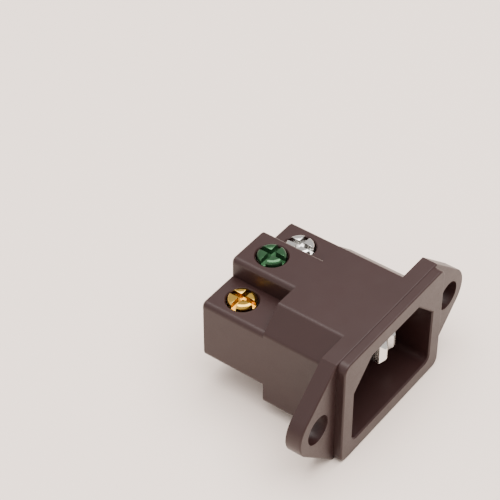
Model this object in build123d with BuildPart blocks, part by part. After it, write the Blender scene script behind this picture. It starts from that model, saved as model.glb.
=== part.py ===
"""Panel inlet for mains power with three screw terminals.

The socket faces -Y, the cable enters from +Y, and up is +Z. The origin is midway
between the two mounting holes, in the plane where the flange meets the panel.
"""
import os

from build123d import *

# Flange and bezel
hole_spacing = 40.0
mount_hole_d = 5.6
ear_tip_r = 5.0
flange_t = 3.0
bezel_proud = 1.7
bezel_corner_r = 1.6
bezel_edge_r = 0.3
ear_edge_r = 0.3
bezel_side = 3.15
bezel_top = 3.25
bezel_bottom = 3.05

# Socket that takes the appliance connector
socket_w = 24.0
socket_h = 16.5
socket_depth = 16.5
socket_bevel = 4.8
socket_corner_r = 1.3
socket_drop = 0.4
mouth_bevel = 0.25

# Body behind the flange
side_wall = 1.2
under_wall = 0.95
shoulder_x = 4.3
web_t = 1.4
edge_r = 1.0
under_edge_r = 1.3
shoulder_r = 0.9

# Terminal chambers, open at the rear
terminal_pitch = 8.5
earth_raise = 4.0
chamber_w = 7.4
chamber_h = 9.0
chamber_l = 12.95
chamber_floor_t = 1.1
top_wall = 2.7
middle_wall = 1.0
access_d = 5.8
access_bevel = 0.2
rear_bevel = 0.25

# Contacts: one piece of plated brass each, a U clamp with a flat pin
play = 0.05
clamp_wall = 1.7
clamp_l = 8.4
clamp_rear_set = 0.9
window_sill = 5.3
window_l = 5.5
window_h = 2.4
clamp_edge_bevel = 0.2
groove_count = 5
groove_pitch = 0.42
groove_w = 0.3
groove_depth = 0.18
pin_spacing = 14.0
pin_w = 2.0
pin_h = 4.0
pin_fit = 0.05
pin_bevel = 0.75
live_pin_recess = 4.3
earth_pin_recess = 1.6
earth_pin_lift = 2.0
heel_l = 0.8

# Clamp plates and terminal screws
plate_l = 5.3
plate_t = 2.3
plate_break = 0.2
shank_d = 3.0
thread_fit = 0.05
shank_l = 8.0
shank_point = 0.4
head_d = 5.2
head_h = 2.4
head_round = 0.7
head_neck_h = 0.45
head_neck_d = 4.4
slot_w = 1.0
slot_depth = 1.15
bottom_gap = 0.3

# Places that follow from the sizes above
hole_x = hole_spacing / 2
socket_top = socket_h / 2 - socket_drop
socket_base = -socket_h / 2 - socket_drop
top_z = socket_top + bezel_top
bezel_z = socket_base - bezel_bottom
bezel_x = socket_w / 2 + bezel_side
front_y = -(flange_t + bezel_proud)
floor_y = front_y + socket_depth
body_x = socket_w / 2 + side_wall
shroud_z = socket_base - under_wall
outer_top_z = top_z - earth_raise
outer_base_z = outer_top_z - top_wall - chamber_h - chamber_floor_t
shoulder_top_x = body_x - shoulder_x
chamber_y = floor_y + web_t
rear_y = chamber_y + chamber_l
middle_x = chamber_w / 2 + middle_wall
clamp_w = chamber_w - 2 * play
clamp_h = chamber_h - 2 * play
clamp_end_y = rear_y - clamp_rear_set
clamp_y = clamp_end_y - clamp_l
screw_y = (clamp_y + clamp_end_y) / 2
pin_base_lift = earth_pin_lift + socket_drop + pin_h / 2
bore_r = clamp_w / 2 - clamp_wall

# Each terminal: name, middle of its clamp, middle of its pin, lift, pin recess, side of the neck
terminals = [
    ("line", -terminal_pitch, -pin_spacing / 2, 0.0, live_pin_recess, 1),
    ("earth", 0.0, 0.0, earth_raise, earth_pin_recess, 1),
    ("neutral", terminal_pitch, pin_spacing / 2, 0.0, live_pin_recess, -1),
]


def chamber_floor(lift):
    """Height of a chamber's floor."""
    return outer_top_z - top_wall - chamber_h + lift


def plane_at(y):
    """Upright plane at y whose sketch has X to the right, Z up and its normal to the rear."""
    return Plane(origin=(0, y, 0), x_dir=(-1, 0, 0), z_dir=(0, 1, 0))


def front_plane(y):
    """Upright plane at y, seen from the front: X to the right, Z up, normal to the front."""
    return Plane(origin=(0, y, 0), x_dir=(1, 0, 0), z_dir=(0, -1, 0))


# Housing, one moulding
with BuildPart() as housing:
    # Flange: the bezel's rectangle drawn out to an ear round each mounting hole
    with BuildSketch(front_plane(0)):
        with Locations((0, (top_z + bezel_z) / 2)):
            Rectangle(2 * bezel_x, top_z - bezel_z)
        with Locations((-hole_x, 0), (hole_x, 0)):
            Circle(ear_tip_r)
        make_hull()
    extrude(amount=flange_t)
    fillet(housing.faces().sort_by(Axis.Y)[0].edges(), radius=ear_edge_r)

    # Bezel, proud of the ears
    with BuildSketch(front_plane(-flange_t)):
        with Locations((0, (top_z + bezel_z) / 2)):
            RectangleRounded(2 * bezel_x, top_z - bezel_z, bezel_corner_r)
    extrude(amount=bezel_proud)
    fillet(housing.faces().sort_by(Axis.Y)[0].edges(), radius=bezel_edge_r)

    # Shroud round the socket, with sloped shoulders
    with BuildSketch(plane_at(0)) as shroud_sketch:
        with BuildLine():
            Polyline(
                (-body_x, shroud_z),
                (-body_x, outer_top_z),
                (-shoulder_top_x, top_z),
                (shoulder_top_x, top_z),
                (body_x, outer_top_z),
                (body_x, shroud_z),
                close=True,
            )
        make_face()
        fillet(shroud_sketch.vertices().group_by(Axis.Y)[0], radius=under_edge_r)
        fillet(shroud_sketch.vertices().group_by(Axis.Y)[-1], radius=shoulder_r)
        fillet(
            shroud_sketch.vertices().filter_by(lambda v: abs(v.Y - outer_top_z) < 0.01),
            radius=shoulder_r,
        )
    extrude(amount=chamber_y)

    # Terminal blocks: two outer ones and the raised middle one
    with BuildSketch(plane_at(floor_y)) as block_sketch:
        with Locations((0, (outer_top_z + outer_base_z) / 2)):
            Rectangle(2 * body_x, outer_top_z - outer_base_z)
        fillet(block_sketch.vertices().group_by(Axis.Y)[0], radius=under_edge_r)
        fillet(block_sketch.vertices().group_by(Axis.Y)[-1], radius=edge_r)
        with Locations((0, (top_z + outer_base_z) / 2)):
            Rectangle(2 * middle_x, top_z - outer_base_z)
        fillet(block_sketch.vertices().group_by(Axis.Y)[-1], radius=edge_r)
    extrude(amount=rear_y - floor_y)
    chamfer(housing.faces().sort_by(Axis.Y)[-1].edges(), length=rear_bevel)

    # Socket cavity
    with BuildSketch(front_plane(front_y)) as mouth:
        with Locations((0, (socket_top + socket_base) / 2)):
            Rectangle(socket_w, socket_h)
        chamfer(mouth.vertices().group_by(Axis.Y)[-1], length=socket_bevel)
        fillet(mouth.vertices().group_by(Axis.Y)[0], radius=socket_corner_r)
    extrude(amount=-socket_depth, mode=Mode.SUBTRACT)
    chamfer(
        housing.faces().sort_by(Axis.Y)[0].inner_wires().edges(),
        length=mouth_bevel,
    )

    # Mounting holes
    with Locations(front_plane(-flange_t)):
        with Locations((-hole_x, 0), (hole_x, 0)):
            Hole(mount_hole_d / 2, depth=flange_t)

    # Chambers, pin slots and screw access holes
    for _, clamp_x, pin_x, lift, _, _ in terminals:
        z_floor = chamber_floor(lift)
        with BuildSketch(plane_at(chamber_y)):
            with Locations((-clamp_x, z_floor + chamber_h / 2)):
                Rectangle(chamber_w, chamber_h)
        extrude(amount=chamber_l, mode=Mode.SUBTRACT)
        with BuildSketch(plane_at(floor_y)):
            with Locations((-pin_x, lift - pin_base_lift + pin_h / 2)):
                Rectangle(pin_w + 2 * pin_fit, pin_h + 2 * pin_fit)
        extrude(amount=web_t, mode=Mode.SUBTRACT)
        with Locations((clamp_x, screw_y, z_floor + chamber_h + top_wall)):
            CounterSinkHole(
                radius=access_d / 2,
                counter_sink_radius=access_d / 2 + access_bevel,
                depth=top_wall,
                counter_sink_angle=90,
            )
housing.part.label = "housing"


# Contacts
contacts = []
for name, clamp_x, pin_x, lift, recess, side in terminals:
    base_z = chamber_floor(lift) + play / 2
    tip_y = front_y + recess
    wall_x = clamp_x + side * (clamp_w - clamp_wall) / 2
    pin_z = lift - pin_base_lift
    with BuildPart() as contact:
        # U clamp with a round bottom, drawn across the cable
        with BuildSketch(plane_at(clamp_y)) as clamp_face:
            with Locations((-clamp_x, base_z + clamp_w / 2)):
                Circle(clamp_w / 2)
            with Locations((-clamp_x, base_z + (clamp_w / 2 + clamp_h) / 2)):
                Rectangle(clamp_w, clamp_h - clamp_w / 2)
            with Locations((-clamp_x, base_z + clamp_w / 2)):
                Circle(bore_r, mode=Mode.SUBTRACT)
            with Locations((-clamp_x, base_z + (clamp_w / 2 + clamp_h) / 2)):
                Rectangle(2 * bore_r, clamp_h - clamp_w / 2, mode=Mode.SUBTRACT)
            # Grooves that bite the strands
            for k in range(groove_count):
                across = (k - (groove_count - 1) / 2) * groove_pitch
                low = base_z + clamp_w / 2 - (bore_r ** 2 - across ** 2) ** 0.5
                with Locations((-clamp_x + across, low)):
                    Rectangle(groove_w, 2 * groove_depth, mode=Mode.SUBTRACT)
        extrude(amount=clamp_l)
        rear_edges = contact.faces().sort_by(Axis.Y)[-1].outer_wire().edges()
        chamfer(
            rear_edges.filter_by(
                lambda e: abs(e.center().X - clamp_x) > clamp_w / 2 - clamp_edge_bevel
                or (e.geom_type == GeomType.CIRCLE and e.radius > bore_r + clamp_wall / 2)
            ),
            length=clamp_edge_bevel,
        )
        # Window for the clamp plate through both walls
        with BuildSketch(Plane.YZ.offset(clamp_x)):
            with Locations((screw_y, base_z + window_sill + window_h / 2)):
                Rectangle(window_l, window_h)
        extrude(amount=clamp_w, both=True, mode=Mode.SUBTRACT)
        # Pin, and the neck that cranks from one wall to it
        with BuildSketch(Plane.XY.offset(pin_z)):
            with BuildLine():
                Polyline(
                    (pin_x - pin_w / 2, tip_y),
                    (pin_x + pin_w / 2, tip_y),
                    (pin_x + pin_w / 2, chamber_y),
                    (wall_x + clamp_wall / 2, clamp_y),
                    (wall_x + clamp_wall / 2, clamp_y + heel_l),
                    (wall_x - clamp_wall / 2, clamp_y + heel_l),
                    (wall_x - clamp_wall / 2, clamp_y),
                    (pin_x - pin_w / 2, chamber_y),
                    close=True,
                )
            make_face()
        extrude(amount=pin_h)
        chamfer(contact.faces().sort_by(Axis.Y)[0].edges(), length=pin_bevel)
    contact.part.label = name + "_contact"
    contacts.append(contact)


# Clamp plates, each lying on the sills of its clamp's windows
plates = []
for name, clamp_x, _, lift, _, _ in terminals:
    sill_z = chamber_floor(lift) + play / 2 + window_sill
    with BuildPart() as plate:
        with BuildSketch(Plane.XY.offset(sill_z)):
            with Locations((clamp_x, screw_y)):
                Rectangle(clamp_w, plate_l)
        extrude(amount=plate_t)
        chamfer(plate.edges().filter_by(Axis.Z), length=plate_break)
        with BuildSketch(Plane.XY.offset(sill_z)):
            with Locations((clamp_x, screw_y)):
                Circle(shank_d / 2 + thread_fit)
        extrude(amount=plate_t, mode=Mode.SUBTRACT)
    plate.part.label = name + "_plate"
    plates.append(plate)


# Terminal screws, run down into the clamps
screws = []
for name, clamp_x, _, lift, _, _ in terminals:
    tip_z = chamber_floor(lift) + play / 2 + clamp_wall + bottom_gap
    neck_z = tip_z + shank_l
    head_z = neck_z + head_neck_h
    head_top = neck_z + head_h
    with BuildPart() as screw:
        with BuildSketch(Plane(origin=(clamp_x, screw_y, 0), x_dir=(1, 0, 0), z_dir=(0, -1, 0))):
            with BuildLine():
                Polyline(
                    (0, tip_z),
                    (shank_d / 2 - shank_point, tip_z),
                    (shank_d / 2, tip_z + shank_point),
                    (shank_d / 2, neck_z),
                    (head_neck_d / 2, neck_z),
                    (head_d / 2, head_z),
                    (head_d / 2, head_top - head_round),
                )
                RadiusArc(
                    (head_d / 2, head_top - head_round),
                    (head_d / 2 - head_round, head_top),
                    -head_round,
                )
                Polyline(
                    (head_d / 2 - head_round, head_top),
                    (0, head_top),
                    (0, tip_z),
                )
            make_face()
        revolve(axis=Axis((clamp_x, screw_y, 0), (0, 0, 1)))
        with BuildSketch(Plane.XY.offset(head_top)):
            with Locations((clamp_x, screw_y)):
                Rectangle(head_d, slot_w)
                Rectangle(slot_w, head_d)
        extrude(amount=-slot_depth, mode=Mode.SUBTRACT)
    screw.part.label = name + "_screw"
    screws.append(screw)


os.makedirs("parts", exist_ok=True)
for piece in [housing, *contacts, *plates, *screws]:
    export_step(piece.part, "parts/" + piece.part.label + ".step")
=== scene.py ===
"""Finish, thread and light of a panel power inlet.

Everything is in metres and in the part's own frame: the socket faces -Y, the cable
comes from +Y, up is +Z, and the origin lies midway between the mounting holes in the
plane of the flange's rear face.
"""

import math

import bmesh
import bpy
import numpy as np
from bpy.props import FloatProperty, FloatVectorProperty, IntProperty, PointerProperty
from mathutils import Matrix, Vector


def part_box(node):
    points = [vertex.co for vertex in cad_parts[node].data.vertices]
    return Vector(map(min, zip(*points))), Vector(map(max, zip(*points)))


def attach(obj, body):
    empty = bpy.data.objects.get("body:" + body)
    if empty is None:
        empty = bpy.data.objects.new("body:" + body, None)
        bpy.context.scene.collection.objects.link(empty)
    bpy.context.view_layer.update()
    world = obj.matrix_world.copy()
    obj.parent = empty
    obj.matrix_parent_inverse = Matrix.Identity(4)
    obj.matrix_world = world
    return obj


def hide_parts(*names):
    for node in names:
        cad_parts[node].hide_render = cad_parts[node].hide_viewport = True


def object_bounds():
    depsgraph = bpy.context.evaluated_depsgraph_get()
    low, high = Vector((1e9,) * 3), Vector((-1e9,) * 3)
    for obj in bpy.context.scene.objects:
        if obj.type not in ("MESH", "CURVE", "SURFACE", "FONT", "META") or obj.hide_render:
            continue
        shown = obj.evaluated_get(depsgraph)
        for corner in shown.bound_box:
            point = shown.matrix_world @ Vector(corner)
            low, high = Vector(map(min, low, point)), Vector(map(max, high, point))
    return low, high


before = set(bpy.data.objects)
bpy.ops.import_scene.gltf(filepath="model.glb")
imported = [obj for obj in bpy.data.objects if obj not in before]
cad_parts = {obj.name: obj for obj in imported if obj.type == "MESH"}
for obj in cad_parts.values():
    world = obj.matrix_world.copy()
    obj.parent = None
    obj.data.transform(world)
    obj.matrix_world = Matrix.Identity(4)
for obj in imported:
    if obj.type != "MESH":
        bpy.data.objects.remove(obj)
CAD_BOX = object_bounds()

bl_info = {
    "name": "Panel power inlet",
    "version": (1, 0, 0),
    "blender": (4, 5, 0),
    "location": "View3D > Sidebar > Inlet",
    "description": "Moulded housing, plated contacts and threaded terminal screws of a panel inlet",
    "category": "Object",
}

# The three terminals, as the solids are named
TERMINALS = ("line", "earth", "neutral")

# Sizes of the solids that the new pieces meet
SHANK_RADIUS = 0.0015
SHANK_LENGTH = 0.008
BEZEL_PROUD = 0.0017

# Seam between a screw's head and its thread: how far over the neck the head is cut off, how far
# the thread runs on into the head, and how near points of the loose triangles are joined
HEAD_CUT = 0.00005
SHANK_SUNK = 0.0002
JOIN_DISTANCE = 0.000001

# Form of the thread: the shares of a turn in which its root and its crest are flat, and how far
# the tip goes in, in depths of the thread
ROOT_FLAT = 1 / 6
CREST_FLAT = 1 / 6
TIP_IN = 1.3

# Floor disc: radius, sides, roughness and gloss
FLOOR_RADIUS = 6.0
FLOOR_SIDES = 64
FLOOR_ROUGHNESS = 0.8
FLOOR_GLOSS = 0.2

# Camera: width of its sensor in mm, and the nearest thing it shows
SENSOR_WIDTH = 36
NEAREST = 0.01


def colour_property(name, description, default):
    """A colour a user may change."""
    return FloatVectorProperty(
        name=name, description=description, default=default, subtype="COLOR", size=3, min=0, max=1
    )


def length_property(name, description, default):
    """A length a user may change, in metres."""
    return FloatProperty(
        name=name, description=description, default=default, unit="LENGTH", subtype="DISTANCE",
        precision=5,
    )


def share_property(name, description, default):
    """A share from 0 to 1 a user may change."""
    return FloatProperty(
        name=name, description=description, default=default, subtype="FACTOR", min=0, max=1
    )


def angle_property(name, description, degrees):
    """An angle a user may change, given here in degrees."""
    return FloatProperty(
        name=name, description=description, default=math.radians(degrees), subtype="ANGLE"
    )


def place_property(name, description, default):
    """A point a user may move."""
    return FloatVectorProperty(
        name=name, description=description, default=default, subtype="TRANSLATION", size=3
    )


class MouldingSettings(bpy.types.PropertyGroup):
    """Look of the moulded housing."""

    colour: colour_property("Colour", "Dark brown of the moulding", (0.0245, 0.0096, 0.009))
    shade: colour_property("Shade", "Brown of its darker flow clouds", (0.0212, 0.0082, 0.0077))
    roughness: share_property("Roughness", "Mean roughness of the matt skin", 0.4)
    gloss: share_property("Gloss", "Specular level of the skin", 0.31)
    clouds: length_property("Clouds", "Size of the flow clouds", 0.009)
    patches: length_property("Patches", "Size of the smoother and rougher patches", 0.003)
    speck: length_property("Speck", "Size of the darker specks", 0.000308)
    grain: length_property("Grain", "Size of the spark-eroded grain", 0.00022)
    grain_depth: length_property("Grain depth", "Height of that grain", 0.000004)


class PlatingSettings(bpy.types.PropertyGroup):
    """Look of the plated metal."""

    silver: colour_property("Silver", "Plating of contacts and plates", (0.82, 0.815, 0.795))
    tarnish: colour_property("Tarnish", "Faint warm film on the silver", (0.75, 0.725, 0.68))
    gold: colour_property("Gold", "Plating of the line screw", (0.66, 0.42, 0.08))
    green: colour_property("Green", "Coating of the earth screw", (0.035, 0.1, 0.045))
    nickel: colour_property("Nickel", "Plating of the neutral screw", (0.7, 0.695, 0.675))
    dull: share_property("Dull", "Share of light that gold and nickel keep under the film", 0.86)
    green_dull: share_property("Green dull", "Share of light that green keeps under it", 0.7)
    polish: share_property("Polish", "Mean roughness of gold and nickel", 0.17)
    green_polish: share_property("Green polish", "Mean roughness of the green coating", 0.21)
    silver_polish: share_property("Silver polish", "Mean roughness of the silver", 0.27)
    green_metal: share_property("Green metal", "How metallic the green coating is", 0.75)
    film: length_property("Film", "Size of the blotches of film", 0.0022)
    rub: length_property("Rub", "Size of the marks of barrel plating", 0.0009)
    rub_depth: length_property("Rub depth", "Height of those marks", 0.0000004)


class ThreadSettings(bpy.types.PropertyGroup):
    """Form of the screws' thread and of their edges."""

    pitch: length_property("Pitch", "Rise of the thread in one turn", 0.0005)
    depth: length_property("Depth", "Depth of the thread below its crest", 0.0003)
    point: length_property("Point", "Length of the tapered tip", 0.0005)
    around: IntProperty(name="Around", description="Steps round the shank", default=40, min=12)
    rows: IntProperty(name="Rows", description="Steps along one pitch", default=8, min=4)
    edge: length_property("Edge", "Width of the soft edges on the screws", 0.00008)
    edge_angle: angle_property("Edge angle", "Least turn between faces that gets a soft edge", 50)
    edge_steps: IntProperty(name="Edge steps", description="Faces across it", default=2, min=1)


class StageSettings(bpy.types.PropertyGroup):
    """Floor, light and camera."""

    floor: colour_property("Floor", "Pale warm floor", (0.9, 0.78, 0.7))
    azimuth: angle_property("Azimuth", "Turn of the view about the vertical", -53.4)
    elevation: angle_property("Elevation", "Height of the view over the horizon", 42.06)
    distance: length_property("Distance", "Camera to the middle of the flange", 0.31328)
    lens: FloatProperty(
        name="Lens", description="Focal length in mm", default=132.4, unit="CAMERA", min=1
    )
    aside: length_property("Aside", "How far left of the object the view's middle lies", 0.023065)
    above: length_property("Above", "How far over the object the view's middle lies", 0.018807)
    tint: colour_property("Tint", "Warm white of all the light", (1.0, 0.955, 0.925))
    sky: FloatProperty(name="Sky", description="Strength of the even light", default=0.85, min=0)
    lamp: FloatProperty(
        name="Lamp", description="Power of the large light overhead, in watts", default=26, min=0
    )
    lamp_place: place_property(
        "Lamp place", "Middle of the large light, a little to the front right", (0.1, -0.1, 0.9)
    )
    fill: FloatProperty(
        name="Fill", description="Power of the weak light, in watts", default=3, min=0
    )
    fill_place: place_property(
        "Fill place", "Middle of the weak light, at the rear left", (-0.56, 0.4, 0.57)
    )
    light_size: length_property("Light size", "Side of both lights", 1.1)


class InletSettings(bpy.types.PropertyGroup):
    """All settings of the inlet."""

    moulding: PointerProperty(type=MouldingSettings)
    plating: PointerProperty(type=PlatingSettings)
    thread: PointerProperty(type=ThreadSettings)
    stage: PointerProperty(type=StageSettings)


class Wire:
    """A socket of a shader tree that can be used in plain arithmetic."""

    def __init__(self, tree, socket):
        self.tree = tree
        self.socket = socket

    def math(self, operation, other, flipped=False):
        """Adds one Math node for self and other, or for other and self when flipped."""
        node = self.tree.nodes.new("ShaderNodeMath")
        node.operation = operation
        first, second = (other, self) if flipped else (self, other)
        for index, value in enumerate((first, second)):
            if isinstance(value, Wire):
                self.tree.links.new(value.socket, node.inputs[index])
            else:
                node.inputs[index].default_value = value
        return Wire(self.tree, node.outputs[0])

    def __add__(self, other):
        return self.math("ADD", other)

    __radd__ = __add__

    def __sub__(self, other):
        return self.math("SUBTRACT", other)

    def __rsub__(self, other):
        return self.math("SUBTRACT", other, flipped=True)

    def __mul__(self, other):
        return self.math("MULTIPLY", other)

    __rmul__ = __mul__


class Finish:
    """A material under construction, with one method that adds any node."""

    def __init__(self, name):
        self.material = bpy.data.materials.new(name)
        self.material.use_nodes = True
        self.tree = self.material.node_tree
        self.tree.nodes.clear()
        surface = self.node("ShaderNodeBsdfPrincipled", "BSDF")
        self.shader = surface.socket.node
        self.node("ShaderNodeOutputMaterial", None, Surface=surface)
        self.place = self.node("ShaderNodeTexCoord", "Object")

    def plug(self, node, values):
        """Sets or links sockets of a node: _3 is its fourth input, Base_Color the one so named."""
        for key, value in values.items():
            number = key[1:]
            socket = node.inputs[int(number) if number.isdigit() else key.replace("_", " ")]
            if isinstance(value, Wire):
                self.tree.links.new(value.socket, socket)
            else:
                socket.default_value = value

    def node(self, kind, output, settings=None, **values):
        """Adds a node: its settings first, then the values or links of its sockets."""
        node = self.tree.nodes.new(kind)
        for key, value in (settings or {}).items():
            setattr(node, key, value)
        self.plug(node, values)
        return None if output is None else Wire(self.tree, node.outputs[output])

    def noise(self, size, detail, roughness=0.5):
        """Noise whose lumps are about as large as size, in metres."""
        return self.node(
            "ShaderNodeTexNoise", "Fac", Vector=self.place, Scale=1 / size, Detail=detail,
            Roughness=roughness,
        )

    def blend(self, factor, first, second):
        """Colour that goes from first to second as factor goes from 0 to 1."""
        return self.node(
            "ShaderNodeMix", 2, {"data_type": "RGBA"}, _0=factor, _6=(*first, 1), _7=(*second, 1)
        )

    def spread(self, wire, low, high):
        """wire, stretched so that low becomes 0 and high becomes 1, and cut off there."""
        return self.node(
            "ShaderNodeMapRange", 0, {"clamp": True}, _0=wire, _1=low, _2=high, _3=0.0, _4=1.0
        )

    def feed(self, **values):
        """Sets or links the shader's own sockets."""
        self.plug(self.shader, values)

    def bump(self, height, depth):
        """Feeds the shader's normal from a height of 0 to 1 that stands for depth in metres."""
        self.feed(Normal=self.node("ShaderNodeBump", 0, Height=height, Distance=depth, Strength=1))


def swing(wire, by):
    """A change about 0 from a wire of 0 to 1: half the amount down at 0 and half of it up at 1."""
    return (wire - 0.5) * by


def moulded_plastic(settings):
    """Matt dark brown moulding: fine spark-eroded grain, faint flow clouds, uneven roughness."""
    finish = Finish("moulded_plastic")
    clouds = finish.spread(finish.noise(settings.clouds, detail=4), low=0.3, high=0.7)
    speck = finish.spread(finish.noise(settings.speck, detail=3), low=0.35, high=0.68)
    patches = finish.noise(settings.patches, detail=3)
    grain = finish.noise(settings.grain, detail=3, roughness=0.6)
    finish.feed(
        Base_Color=finish.blend(clouds * 0.7 + speck * 0.3, settings.colour, settings.shade),
        Roughness=settings.roughness + swing(patches, by=0.12) + swing(speck, by=0.06),
        Specular_IOR_Level=settings.gloss,
    )
    finish.bump(grain, settings.grain_depth)
    return finish.material


def plated_metal(name, bright, dull, roughness, settings, metallic=1.0):
    """Barrel-plated metal: a faint film in blotches and a slightly uneven polish."""
    finish = Finish(name)
    film = finish.spread(finish.noise(settings.film, detail=3), low=0.42, high=0.75)
    rub = finish.noise(settings.rub, detail=2)
    finish.feed(
        Base_Color=finish.blend(film, bright, dull),
        Metallic=metallic,
        Roughness=roughness + swing(film, by=0.06) + swing(rub, by=0.08),
    )
    finish.bump(rub, settings.rub_depth)
    return finish.material


def darker(colour, share):
    """The colour with the given share of its light."""
    return [channel * share for channel in colour]


def dress(obj, material):
    """Puts one material on an object, through its own slots where it has some."""
    if not obj.material_slots:
        obj.data.materials.append(material)
    for slot in obj.material_slots:
        slot.material = material


def thread_surface(radius, low, high, settings):
    """Mesh of a closed threaded shank about the Z axis, from height low to height high.

    At angle a and height z, the turn is z over the pitch less a over a full turn, and only
    its part after the point counts. Twice that, less 1 and without its sign, is a wave that
    is 0 in the middle of the groove and 1 in the middle of the crest. The groove is full
    below the root's flat share, none above 1 less the crest's flat share, and falls evenly
    between. The radius is the crest's less the depth times the groove. Near the tip it is
    held under a cone, which goes in by TIP_IN depths over the length of the point.
    """
    count = int(round((high - low) / settings.pitch * settings.rows)) + 1
    column = np.arange(settings.around)
    angle = np.linspace(0, 2 * np.pi, settings.around, endpoint=False)
    a, z = np.meshgrid(angle, np.linspace(low, high, count))
    wave = np.abs(2 * ((z / settings.pitch - a / (2 * np.pi)) % 1) - 1)
    groove = np.clip((1 - CREST_FLAT - wave) / (1 - CREST_FLAT - ROOT_FLAT), 0, 1)
    cone = radius - settings.depth * TIP_IN * np.clip(1 - (z - low) / settings.point, 0, 1)
    r = np.minimum(radius - settings.depth * groove, cone)
    rings = np.stack([r * np.cos(a), r * np.sin(a), z], axis=-1).reshape(-1, 3)
    verts = np.concatenate([rings, [[0, 0, low], [0, 0, high]]])

    after = (column + 1) % settings.around
    row = np.arange(count - 1)[:, None] * settings.around
    above = row + settings.around
    quads = np.stack([row + column, row + after, above + after, above + column], axis=-1)
    bottom = np.full(settings.around, len(rings))
    last = (count - 1) * settings.around
    ends = np.concatenate([
        np.stack([bottom, after, column], axis=-1),
        np.stack([bottom + 1, last + column, last + after], axis=-1),
    ])
    return verts, quads.reshape(-1, 4).tolist() + ends.tolist()


def screw_head(node, cut):
    """The head of a screw, copied from its solid: all above the height cut, closed there."""
    mesh = bmesh.new()
    mesh.from_mesh(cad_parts[node].data)
    bmesh.ops.remove_doubles(mesh, verts=mesh.verts, dist=JOIN_DISTANCE)
    parts = mesh.verts[:] + mesh.edges[:] + mesh.faces[:]
    bmesh.ops.bisect_plane(
        mesh, geom=parts, plane_co=(0, 0, cut), plane_no=(0, 0, 1), clear_inner=True
    )
    rim = [edge for edge in mesh.edges if edge.is_boundary]
    bmesh.ops.holes_fill(mesh, edges=rim, sides=0)
    bmesh.ops.recalc_face_normals(mesh, faces=mesh.faces)
    return mesh


def threaded_screw(node, name, material, settings):
    """A terminal screw with its own head and a cut thread on its shank."""
    low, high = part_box(node)
    centre = (low + high) / 2
    neck = low.z + SHANK_LENGTH
    verts, faces = thread_surface(SHANK_RADIUS, low.z, neck + SHANK_SUNK, settings)
    shank = bpy.data.meshes.new(name + "_shank")
    shank.from_pydata(verts + np.array([centre.x, centre.y, 0]), [], faces)
    whole = screw_head(node, neck + HEAD_CUT)
    whole.from_mesh(shank)
    bpy.data.meshes.remove(shank)
    data = bpy.data.meshes.new(name)
    whole.to_mesh(data)
    whole.free()
    screw = bpy.data.objects.new(name, data)
    bpy.context.scene.collection.objects.link(screw)
    dress(screw, material)
    data.shade_smooth()
    soft_edges = screw.modifiers.new("soft_edges", "BEVEL")
    soft_edges.width = settings.edge
    soft_edges.segments = settings.edge_steps
    soft_edges.limit_method = "ANGLE"
    soft_edges.angle_limit = settings.edge_angle
    soft_edges.harden_normals = False
    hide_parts(node)
    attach(screw, node)


class INLET_OT_housing(bpy.types.Operator):
    """Gives the housing its matt moulded skin"""

    bl_idname = "inlet.housing"
    bl_label = "Housing"

    def execute(self, context):
        dress(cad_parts["housing"], moulded_plastic(context.scene.inlet.moulding))
        return {"FINISHED"}


class INLET_OT_contacts(bpy.types.Operator):
    """Silver-plates the contacts and the clamp plates"""

    bl_idname = "inlet.contacts"
    bl_label = "Contacts and plates"

    def execute(self, context):
        plating = context.scene.inlet.plating
        silver = plated_metal(
            "silver_plating", plating.silver, plating.tarnish, plating.silver_polish, plating
        )
        for terminal in TERMINALS:
            dress(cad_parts[terminal + "_contact"], silver)
            dress(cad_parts[terminal + "_plate"], silver)
        return {"FINISHED"}


class INLET_OT_screws(bpy.types.Operator):
    """Makes the three terminal screws with their threads and platings"""

    bl_idname = "inlet.screws"
    bl_label = "Terminal screws"

    def execute(self, context):
        plating = context.scene.inlet.plating
        thread = context.scene.inlet.thread
        gold = plated_metal(
            "gold_plating", plating.gold, darker(plating.gold, plating.dull), plating.polish,
            plating,
        )
        green = plated_metal(
            "green_coating", plating.green, darker(plating.green, plating.green_dull),
            plating.green_polish, plating, plating.green_metal,
        )
        nickel = plated_metal(
            "nickel_plating", plating.nickel, darker(plating.nickel, plating.dull),
            plating.polish, plating,
        )
        threaded_screw("line_screw", "gold_terminal_screw", gold, thread)
        threaded_screw("earth_screw", "green_terminal_screw", green, thread)
        threaded_screw("neutral_screw", "nickel_terminal_screw", nickel, thread)
        return {"FINISHED"}


def pale_floor(colour, height):
    """A wide floor disc at the given height, in a plain pale finish: even steps round a circle."""
    turn = np.linspace(0, 2 * np.pi, FLOOR_SIDES, endpoint=False)
    rim = np.stack(
        [FLOOR_RADIUS * np.cos(turn), FLOOR_RADIUS * np.sin(turn), np.full(FLOOR_SIDES, height)],
        axis=-1,
    )
    data = bpy.data.meshes.new("floor")
    data.from_pydata(rim, [], [range(FLOOR_SIDES)])
    floor = bpy.data.objects.new("floor", data)
    bpy.context.scene.collection.objects.link(floor)
    finish = Finish("pale_floor")
    finish.feed(
        Base_Color=(*colour, 1), Roughness=FLOOR_ROUGHNESS, Specular_IOR_Level=FLOOR_GLOSS
    )
    dress(floor, finish.material)


def even_sky(colour, strength):
    """The same light from everywhere."""
    world = bpy.data.worlds.new("soft_sky")
    world.use_nodes = True
    sky = world.node_tree.nodes["Background"]
    sky.inputs["Color"].default_value = (*colour, 1)
    sky.inputs["Strength"].default_value = strength
    bpy.context.scene.world = world


def soft_light(name, place, power, stage):
    """A large square light at place that looks at the origin."""
    data = bpy.data.lights.new(name, "AREA")
    data.size = stage.light_size
    data.energy = power
    data.color = stage.tint
    lamp = bpy.data.objects.new(name, data)
    lamp.location = place
    lamp.rotation_euler = Vector(place).to_track_quat("Z", "Y").to_euler()
    bpy.context.scene.collection.objects.link(lamp)


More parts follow.
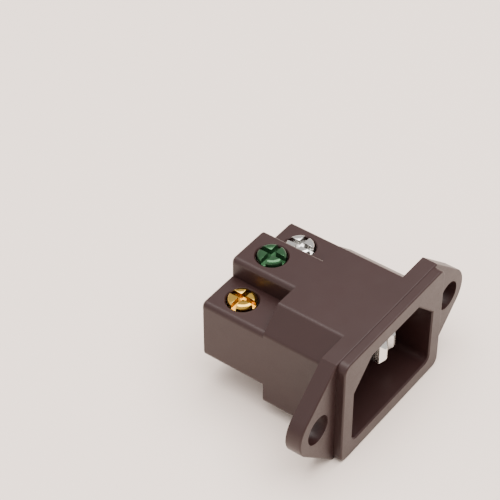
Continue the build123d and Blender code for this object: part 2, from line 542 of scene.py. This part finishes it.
def view_axes(azimuth, elevation):
    """Right, up and back of a level camera that looks down by elevation, turned by azimuth."""
    back = Vector((
        math.sin(azimuth) * math.cos(elevation),
        -math.cos(azimuth) * math.cos(elevation),
        math.sin(elevation),
    ))
    right = Vector((math.cos(azimuth), math.sin(azimuth), 0))
    return right, back.cross(right), back


def product_camera(stage):
    """A camera without depth of field that looks past the middle of the flange's front."""
    data = bpy.data.cameras.new("camera")
    data.lens = stage.lens
    data.sensor_width = SENSOR_WIDTH
    data.sensor_fit = "HORIZONTAL"
    data.clip_start = NEAREST
    data.dof.use_dof = False
    right, up, back = view_axes(stage.azimuth, stage.elevation)
    middle = Vector((0, CAD_BOX[0].y + BEZEL_PROUD, 0))
    place = middle + back * stage.distance - right * stage.aside + up * stage.above
    turn = Matrix((right, up, back)).transposed().to_4x4()
    camera = bpy.data.objects.new("camera", data)
    camera.matrix_world = Matrix.Translation(place) @ turn
    bpy.context.scene.collection.objects.link(camera)
    bpy.context.scene.camera = camera


class INLET_OT_stage(bpy.types.Operator):
    """Sets the floor, the soft light and the camera"""

    bl_idname = "inlet.stage"
    bl_label = "Stage"

    def execute(self, context):
        stage = context.scene.inlet.stage
        pale_floor(stage.floor, CAD_BOX[0].z)
        even_sky(stage.tint, stage.sky)
        soft_light("large_light", stage.lamp_place, stage.lamp, stage)
        soft_light("fill_light", stage.fill_place, stage.fill, stage)
        product_camera(stage)
        return {"FINISHED"}


class INLET_PT_panel(bpy.types.Panel):
    """Lists the steps that dress the inlet"""

    bl_idname = "INLET_PT_panel"
    bl_label = "Panel inlet"
    bl_space_type = "VIEW_3D"
    bl_region_type = "UI"
    bl_category = "Inlet"

    def draw(self, context):
        for step in STEPS:
            self.layout.operator(step)
        inlet = context.scene.inlet
        for group in (inlet.moulding, inlet.plating, inlet.thread, inlet.stage):
            box = self.layout.box()
            for name in group.__annotations__:
                box.prop(group, name)


STEPS = ("inlet.housing", "inlet.contacts", "inlet.screws", "inlet.stage")
CLASSES = (
    MouldingSettings, PlatingSettings, ThreadSettings, StageSettings, InletSettings,
    INLET_OT_housing, INLET_OT_contacts, INLET_OT_screws, INLET_OT_stage, INLET_PT_panel,
)


def register():
    """Registers the classes and the scene's settings."""
    for cls in CLASSES:
        bpy.utils.register_class(cls)
    bpy.types.Scene.inlet = PointerProperty(type=InletSettings)


def unregister():
    """Takes them away again."""
    del bpy.types.Scene.inlet
    for cls in reversed(CLASSES):
        bpy.utils.unregister_class(cls)


def main():
    register()
    for step in STEPS:
        group, name = step.split(".")
        getattr(getattr(bpy.ops, group), name)()


if __name__ == "__main__":
    main()
